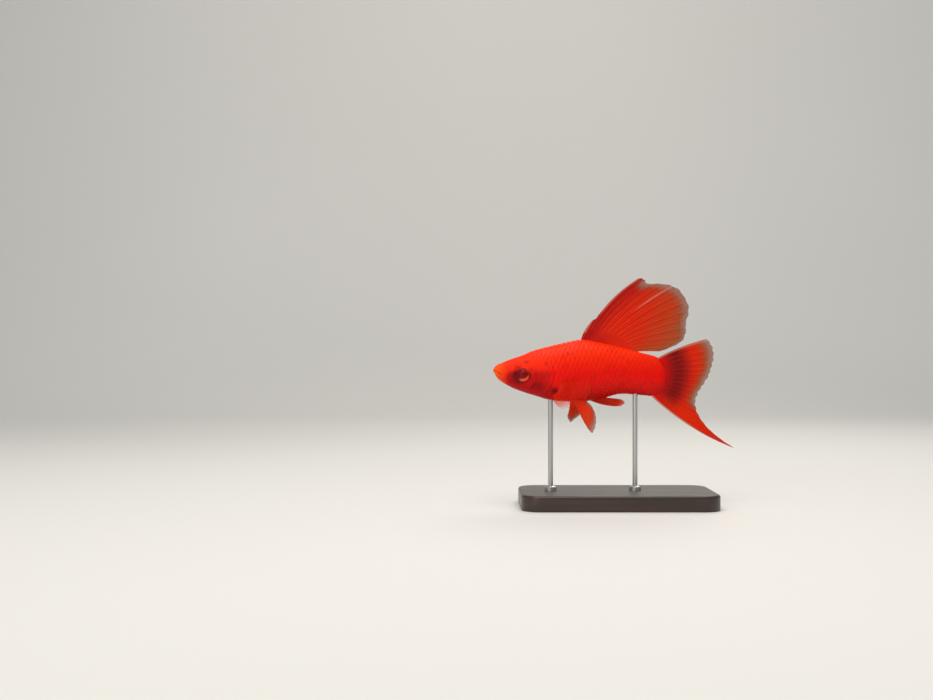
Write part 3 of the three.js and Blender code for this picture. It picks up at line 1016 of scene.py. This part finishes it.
def pectoral_colour(finish, colours, ray, share, cloud):
    """Thin and clear all over."""
    colour = finish.layers(
        colours.back,
        (0.3 + cloud * 0.5, colours.flank),
        (share.rise(0.8, 1.0) * 0.5, colours.brown),
    )
    return colour, share.rise(0.0, 0.3) * 0.76 + share.rise(0.4, 1.0) * 0.16


def pelvic_colour(finish, colours, ray, share, cloud):
    """Orange, thinning out to a brown margin."""
    margin = share.rise(0.66, 1.0).most(ray.rise(0.72, 0.95) * share.rise(0.15, 0.5))
    colour = finish.layers(
        colours.back,
        (cloud * 0.4, colours.fin),
        (share.rise(0.1, 0.8) * 0.35, colours.brown),
        (margin * 0.8, colours.fringe),
    )
    return colour, margin * 0.5 + 0.06


def gonopodium_colour(finish, colours, ray, share, cloud):
    """Red with a pale tip."""
    colour = finish.layers(
        colours.cheek,
        (cloud * 0.5, colours.fin),
        (share.rise(0.8, 1.0) * 0.8, colours.edge),
    )
    return colour, share.rise(0.9, 1.0) * 0.2


PECTORAL = {
    "rays": [13],
    "radius": [0.075, 0.015],
    "grid": [[260, 24]],
    "web": [0.16, 0.8],
    "notch": 0.1,
    "pale": 0.14,
    "faint": 0.8,
    "joints": 110.0,
    "colour": pectoral_colour,
}
PELVIC = {
    "rays": [7],
    "radius": [0.12, 0.025],
    "grid": [[168, 28]],
    "web": [0.3, 0.9],
    "notch": 0.14,
    "pale": 0.22,
    "faint": 0.45,
    "joints": 110.0,
    "colour": pelvic_colour,
}

# How each fin is made.
# fins: each part's curves, -1 to mirror it, and how much of the ray numbers' run it takes
# rays: how many rays each part has
# radius: of a ray's branches at the root and the tip, in mm
# grid: the steps of each part's web, across the rays and along them
# web: its thickness at the root in mm, and at the margin as a share of the setting
# notch: how deep the margin is cut in between rays, in mm
# pale, faint: how pale the rays are, and how see-through beside the web
# joints: how close the rays' joints lie
FIN_BUILDS = {
    "dorsal": {
        "fins": [("fin_dorsal", 1, 1), ("fin_dorsal_spur", 1, 0.12)],
        "nodes": ["fin_dorsal"],
        "rays": [14, 2],
        "radius": [0.17, 0.035],
        "grid": [[336, 48], [48, 20]],
        "web": [0.8, 1.0],
        "notch": 0.2,
        "pale": 0.24,
        "faint": 0.45,
        "joints": 190.0,
        "colour": dorsal_colour,
    },
    "caudal": {
        "fins": [("fin_caudal", 1, 1)],
        "nodes": ["fin_caudal", "sword"],
        "rays": [17],
        "radius": [0.24, 0.035],
        "grid": [[408, 48]],
        "web": [1.1, 1.0],
        "notch": 0.26,
        "pale": 0.08,
        "faint": 0.45,
        "joints": 150.0,
        "colour": caudal_colour,
    },
    "pectoral_left": {
        "fins": [("fin_pectoral", 1, 1)],
        "nodes": ["fin_pectoral_left"],
        **PECTORAL,
    },
    "pectoral_right": {
        "fins": [("fin_pectoral", -1, 1)],
        "nodes": ["fin_pectoral_right"],
        **PECTORAL,
    },
    "pelvic_left": {
        "fins": [("fin_pelvic_left", 1, 1)],
        "nodes": ["fin_pelvic_left"],
        **PELVIC,
    },
    "pelvic_right": {
        "fins": [("fin_pelvic_right", 1, 1)],
        "nodes": ["fin_pelvic_right"],
        **PELVIC,
    },
    "gonopodium": {
        "fins": [("gonopodium", 1, 1)],
        "nodes": ["gonopodium"],
        "rays": [4],
        "radius": [0.42, 0.2],
        "grid": [[32, 28]],
        "web": [0.7, 2.0],
        "notch": 0.03,
        "pale": 0.2,
        "faint": 0.45,
        "joints": 60.0,
        "colour": gonopodium_colour,
    },
}

MARGIN_REACH, MARGIN_GAP = 0.988, 0.04  # how far out a web reaches, as a share and less a gap in mm
WEB_ROOT = 0.3  # the share of a ray over which the thick root of a web thins out
WEB_WAVE = 0.06  # how far a web bends out of its plane between rays, in mm

# A ray parts into two branches, and each of those into two: the shares of its length at which the
# parting starts and ends, and how far off the middle the branches lie before it and after it, as a
# share of the distance between rays.
FORKS = [[0.3, 0.75, 0.03, 0.24], [0.55, 1.0, 0.015, 0.125]]
RAY_SIDES, RAY_STEPS = 6, 23


def margin_share(fin, ray, rays, notch, own):
    """How far out the web reaches, as a share: less between rays, and between their branches."""
    length = np.linalg.norm(evenly(fin["tips"], ray) - evenly(fin["roots"], ray), axis=-1)
    uneven = np.interp(ray, np.linspace(0, 1, rays), own)
    round_ray = 2 * np.pi * rays * ray
    beat = 1 + 0.65 * np.cos(round_ray) + 0.35 * np.cos(4 * round_ray)
    return MARGIN_REACH + uneven - (MARGIN_GAP + notch * beat) / length


def web_part(fin, flip, rays, grid, thick, notch, own):
    """Shapes the thin skin of a fin: thick at the root, and notched between the rays' tips."""
    bm = slab_template(*grid)
    ray, share, face = mesh_points(bm).T
    share = share * margin_share(fin, ray, rays, notch, own)
    point, facing, _ = fin_frame(fin, ray, share, flip)
    wave = WEB_WAVE * np.cos(2 * np.pi * rays * ray + 0.6) * smooth(0.1, 0.6, share)
    thickness = thick[1] + (thick[0] - thick[1]) * smooth(WEB_ROOT, 0, share) ** 2
    places = point + facing * ((wave + face * thickness / 2) * MM)[:, None]
    move_points(bm, places)
    return bm, ray, share


def rays_part(fin, flip, rays, radius, notch, own):
    """Shapes the rays of a fin. Each splits into two and again into two on its way out."""
    bm = bmesh.new()
    bmesh.ops.create_cone(bm, cap_ends=True, segments=RAY_SIDES, radius1=1, radius2=1, depth=1)
    lengthwise = [e for e in bm.edges if abs(e.verts[0].co.z - e.verts[1].co.z) > 0.5]
    bmesh.ops.subdivide_edges(bm, edges=lengthwise, cuts=RAY_STEPS - 1)
    template = finished_mesh(bm, "ray_template")
    shape = np.array([vertex.co for vertex in template.vertices])
    along = shape[:, 2] + 0.5
    apart = [low + (high - low) * smooth(start, end, along) for start, end, low, high in FORKS]
    rows, shares = [], []
    for number in range(rays):
        for first in (-1, 1):
            for second in (-1, 1):
                row = (number + 0.5 + first * apart[0] + second * apart[1]) / rays
                tip = row[along.argmax()][None]
                rows.append(row)
                shares.append(along * (margin_share(fin, tip, rays, notch, own) + 0.002))
    ray, share = np.array(rows), np.array(shares)
    point, facing, across = fin_frame(fin, ray, share, flip)
    thick = radius[0] + (radius[1] - radius[0]) * np.maximum(share, 0) ** 0.5
    thick = thick * (1 - 0.5 * smooth(0.9, 1.0, share)) * MM
    places = point + facing * (shape[:, 0] * thick)[..., None]
    places += across * (shape[:, 1] * thick * 0.8)[..., None]
    bm = repeated(template, len(rows))
    move_points(bm, places.reshape(-1, 3))
    return bm, ray.ravel(), share.ravel()


def joined(name, parts):
    """One mesh from several parts, each a bmesh with the ray and share of its points."""
    whole = bmesh.new()
    for bm, _, _ in parts:
        mesh = finished_mesh(bm, "fin_part")
        whole.from_mesh(mesh)
        bpy.data.meshes.remove(mesh)
    bmesh.ops.recalc_face_normals(whole, faces=whole.faces[:])
    mesh = finished_mesh(whole, name)
    add_attribute(mesh, "ray", np.concatenate([ray for _, ray, _ in parts]))
    add_attribute(mesh, "share", np.concatenate([share for _, _, share in parts]))
    return mesh


class SWORDTAIL_OT_fins(bpy.types.Operator):
    """Models every fin and the sword, each as rays with a thin web between them"""

    bl_idname = "swordtail.fins"
    bl_label = "Fins"

    def execute(self, context):
        colours = context.scene.swordtail_colours
        margin = context.scene.swordtail_sizes.web_thickness / MM
        random = np.random.default_rng(SEED)
        for name, build in FIN_BUILDS.items():
            webs, rays = [], []
            thick = build["web"][0], margin * build["web"][1]
            for (fin_name, flip, part), count, grid in zip(
                build["fins"], build["rays"], build["grid"]
            ):
                fin = FINS[fin_name]
                own = random.uniform(-0.006, 0.006, count)
                for parts, (bm, ray, share) in (
                    (webs, web_part(fin, flip, count, grid, thick, build["notch"], own)),
                    (rays, rays_part(fin, flip, count, build["radius"], build["notch"], own)),
                ):
                    parts.append((bm, ray * part, share))
            web_paint = web_finish(name + "_web", colours, build)
            add_piece(joined(name + "_web", webs), web_paint, build["nodes"])
            ray_paint = ray_finish(name + "_rays", colours, build)
            add_piece(joined(name + "_rays", rays), ray_paint)
        return {"FINISHED"}


# Stand

BASE_CORNER, BASE_TOP_EDGE, BASE_BOTTOM_EDGE = 5.8 * MM, 0.8 * MM, 0.4 * MM
ROD_END_EDGE = 0.1 * MM
COLLAR = [[0, 1.6], [0.25, 1.5], [0.9, 1.3], [1.1, 1.1], [1.1, -0.2]]  # out and up, in mm


def wood_finish(colours):
    finish = Finish("dark_wood", IOR=1.5, Coat_Roughness=0.25)
    grain = finish.noise(60, 5, 0.6, (0.35, 6, 6))
    pores = finish.noise(500, 3, 0.6, (0.12, 4, 4))
    dark = tuple(0.45 * channel for channel in colours.wood)
    colour = finish.layers(
        colours.wood, (grain.rise(0.35, 0.65), dark), (pores.rise(0.58, 0.7) * 0.5, dark)
    )
    finish.set(Base_Color=colour, Roughness=0.34 + grain * 0.18, Coat_Weight=0.25 + grain * 0.1)
    finish.bump(grain * 0.4 + pores * 0.6, 0.00006)
    return finish.material


def steel_finish():
    finish = Finish("brushed_steel", Metallic=1.0)
    brushed = finish.noise(1400, 2, 0.5, (1, 1, 0.03))
    colour = finish.mix(brushed, paint(168, 168, 170), paint(206, 206, 206))
    finish.set(Base_Color=colour, Roughness=0.26 + brushed * 0.14)
    finish.bump(brushed, 0.00001)
    return finish.material


def round_edges(bm, edges, radius, segments):
    bmesh.ops.bevel(
        bm, geom=edges, offset=radius, segments=segments, profile=0.5, affect="EDGES", material=-1
    )


class SWORDTAIL_OT_stand(bpy.types.Operator):
    """Models the display stand: a wooden base and two steel rods, each in a small collar"""

    bl_idname = "swordtail.stand"
    bl_label = "Stand"

    def execute(self, context):
        low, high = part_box("stand_base")
        bm = bmesh.new()
        bmesh.ops.create_cube(bm, size=1)
        bmesh.ops.scale(bm, vec=high - low, verts=bm.verts)
        bmesh.ops.translate(bm, vec=(low + high) / 2, verts=bm.verts)
        upright = [e for e in bm.edges if abs(e.verts[0].co.z - e.verts[1].co.z) > MM]
        round_edges(bm, upright, BASE_CORNER, 14)
        top = [e for e in bm.edges if min(v.co.z for v in e.verts) > high.z - 0.1 * MM]
        round_edges(bm, top, BASE_TOP_EDGE, 6)
        bottom = [e for e in bm.edges if max(v.co.z for v in e.verts) < low.z + 0.1 * MM]
        round_edges(bm, bottom, BASE_BOTTOM_EDGE, 3)
        wood = wood_finish(context.scene.swordtail_colours)
        base = add_piece(finished_mesh(bm, "base_wood"), wood, ["stand_base"])
        self.sharpen(base)

        steel = steel_finish()
        for name in ("stand_rod_front", "stand_rod_rear"):
            rod_low, rod_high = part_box(name)
            middle = (rod_low + rod_high) / 2
            radius = (rod_high.x - rod_low.x) / 2
            bm = bmesh.new()
            profile = [(0, rod_high.z), (radius - ROD_END_EDGE, rod_high.z)]
            profile.append((radius, rod_high.z - ROD_END_EDGE))
            profile += [(radius + out * MM, high.z + rise * MM) for out, rise in COLLAR]
            profile.append((0, profile[-1][1]))
            line = [bm.verts.new((distance, 0, height)) for distance, height in profile]
            edges = [bm.edges.new(pair) for pair in zip(line[:-1], line[1:])]
            bmesh.ops.spin(
                bm, geom=line + edges, cent=(0, 0, 0), axis=(0, 0, 1), angle=2 * math.pi,
                steps=48, use_merge=True,
            )
            bmesh.ops.remove_doubles(bm, verts=bm.verts[:], dist=1e-7)
            bmesh.ops.recalc_face_normals(bm, faces=bm.faces[:])
            bmesh.ops.translate(bm, vec=(middle.x, middle.y, 0), verts=bm.verts)
            label = name.replace("stand_", "") + "_steel"
            rod = add_piece(finished_mesh(bm, label), steel, [name])
            self.sharpen(rod)
        return {"FINISHED"}

    @staticmethod
    def sharpen(piece):
        """Keeps the flat faces flat."""
        piece.data.set_sharp_from_angle(angle=math.radians(30))


# Stage


def floor_finish():
    finish = Finish("pale_floor", Roughness=0.85)
    cloud = finish.noise(3, 2)
    colour = finish.mix(cloud, paint(226, 226, 224), paint(232, 232, 230))
    finish.set(Base_Color=colour)
    return finish.material


WARM = (1.0, 0.95, 0.88)
FLOOR_NEAR, FLOOR_FAR, FLOOR_BEND, WALL_HEIGHT, FLOOR_SIDE = -5.0, 0.55, 0.5, 3.0, 5.0
CAMERA_PLACE = (-0.048, -0.4147, 0.0499)


def add_light(name, place, target, size, power):
    light = bpy.data.lights.new(name, "AREA")
    light.shape = "DISK"
    light.size = size
    light.energy = power
    light.color = WARM
    lamp = bpy.data.objects.new(name, light)
    lamp.location = place
    lamp.rotation_euler = (Vector(target) - Vector(place)).to_track_quat("-Z", "Y").to_euler()
    bpy.context.scene.collection.objects.link(lamp)


class SWORDTAIL_OT_stage(bpy.types.Operator):
    """Adds the pale floor, the soft lights and the camera"""

    bl_idname = "swordtail.stage"
    bl_label = "Stage"

    def execute(self, context):
        bm = bmesh.new()
        bmesh.ops.create_grid(bm, x_segments=2, y_segments=240, size=1)
        side, share, _ = mesh_points(bm).T
        flat = FLOOR_FAR - FLOOR_NEAR
        quarter = FLOOR_BEND * np.pi / 2
        run = (share + 1) / 2 * (flat + quarter + WALL_HEIGHT)
        turn = np.clip((run - flat) / FLOOR_BEND, 0, np.pi / 2)
        back = FLOOR_NEAR + np.minimum(run, flat) + FLOOR_BEND * np.sin(turn)
        rise = FLOOR_BEND * (1 - np.cos(turn)) + np.maximum(0, run - flat - quarter)
        mesh = finished_mesh(bm, "floor", np.stack([side * FLOOR_SIDE, back, rise], -1))
        floor = add_object(mesh, floor_finish())

        aim = (0, 0, SWIM_HEIGHT * MM)
        add_light("softbox_above", (-0.06, -0.16, 0.5), aim, 0.45, 1.7)
        add_light("softbox_front", (-0.4, -0.7, 0.3), aim, 0.6, 1.3)
        add_light("softbox_behind", (0.12, 0.32, 0.4), aim, 0.3, 0.7)
        add_light("softbox_wall", (0, 0.45, 0.8), (0, 1.05, 0.7), 0.9, 1.8)

        world = bpy.data.worlds.new("pale_room")
        world.use_nodes = True
        world.node_tree.nodes["Background"].inputs["Color"].default_value = (0.95, 0.94, 0.92, 1)
        world.node_tree.nodes["Background"].inputs["Strength"].default_value = 0.44
        context.scene.world = world
        context.scene.view_settings.view_transform = "Standard"

        camera = bpy.data.cameras.new("camera")
        camera.lens = 50
        camera.sensor_width = 36
        camera.clip_start = 0.01
        mount = bpy.data.objects.new("camera", camera)
        mount.location = CAMERA_PLACE
        mount.rotation_euler = (math.radians(90), 0, 0)
        context.scene.collection.objects.link(mount)
        context.scene.camera = mount
        return {"FINISHED"}


# Panel and registration

OPERATORS = (
    SWORDTAIL_OT_stage,
    SWORDTAIL_OT_skin,
    SWORDTAIL_OT_scales,
    SWORDTAIL_OT_eyes,
    SWORDTAIL_OT_fins,
    SWORDTAIL_OT_stand,
)


class SWORDTAIL_PT_panel(bpy.types.Panel):
    """Lists the swordtail's pieces and settings"""

    bl_label = "Swordtail"
    bl_idname = "SWORDTAIL_PT_panel"
    bl_space_type = "VIEW_3D"
    bl_region_type = "UI"
    bl_category = "Swordtail"

    def draw(self, context):
        for operator in OPERATORS:
            self.layout.operator(operator.bl_idname)
        for group in (context.scene.swordtail_colours, context.scene.swordtail_sizes):
            for name in group.bl_rna.properties.keys():
                if name not in ("rna_type", "name"):
                    self.layout.prop(group, name)


CLASSES = (SwordtailColours, SwordtailSizes, *OPERATORS, SWORDTAIL_PT_panel)


def register():
    for cls in CLASSES:
        bpy.utils.register_class(cls)
    bpy.types.Scene.swordtail_colours = PointerProperty(type=SwordtailColours)
    bpy.types.Scene.swordtail_sizes = PointerProperty(type=SwordtailSizes)


def unregister():
    del bpy.types.Scene.swordtail_sizes
    del bpy.types.Scene.swordtail_colours
    for cls in reversed(CLASSES):
        bpy.utils.unregister_class(cls)


def main():
    register()
    bpy.ops.swordtail.stage()
    bpy.ops.swordtail.skin()
    bpy.ops.swordtail.scales()
    bpy.ops.swordtail.eyes()
    bpy.ops.swordtail.fins()
    bpy.ops.swordtail.stand()


if __name__ == "__main__":
    main()
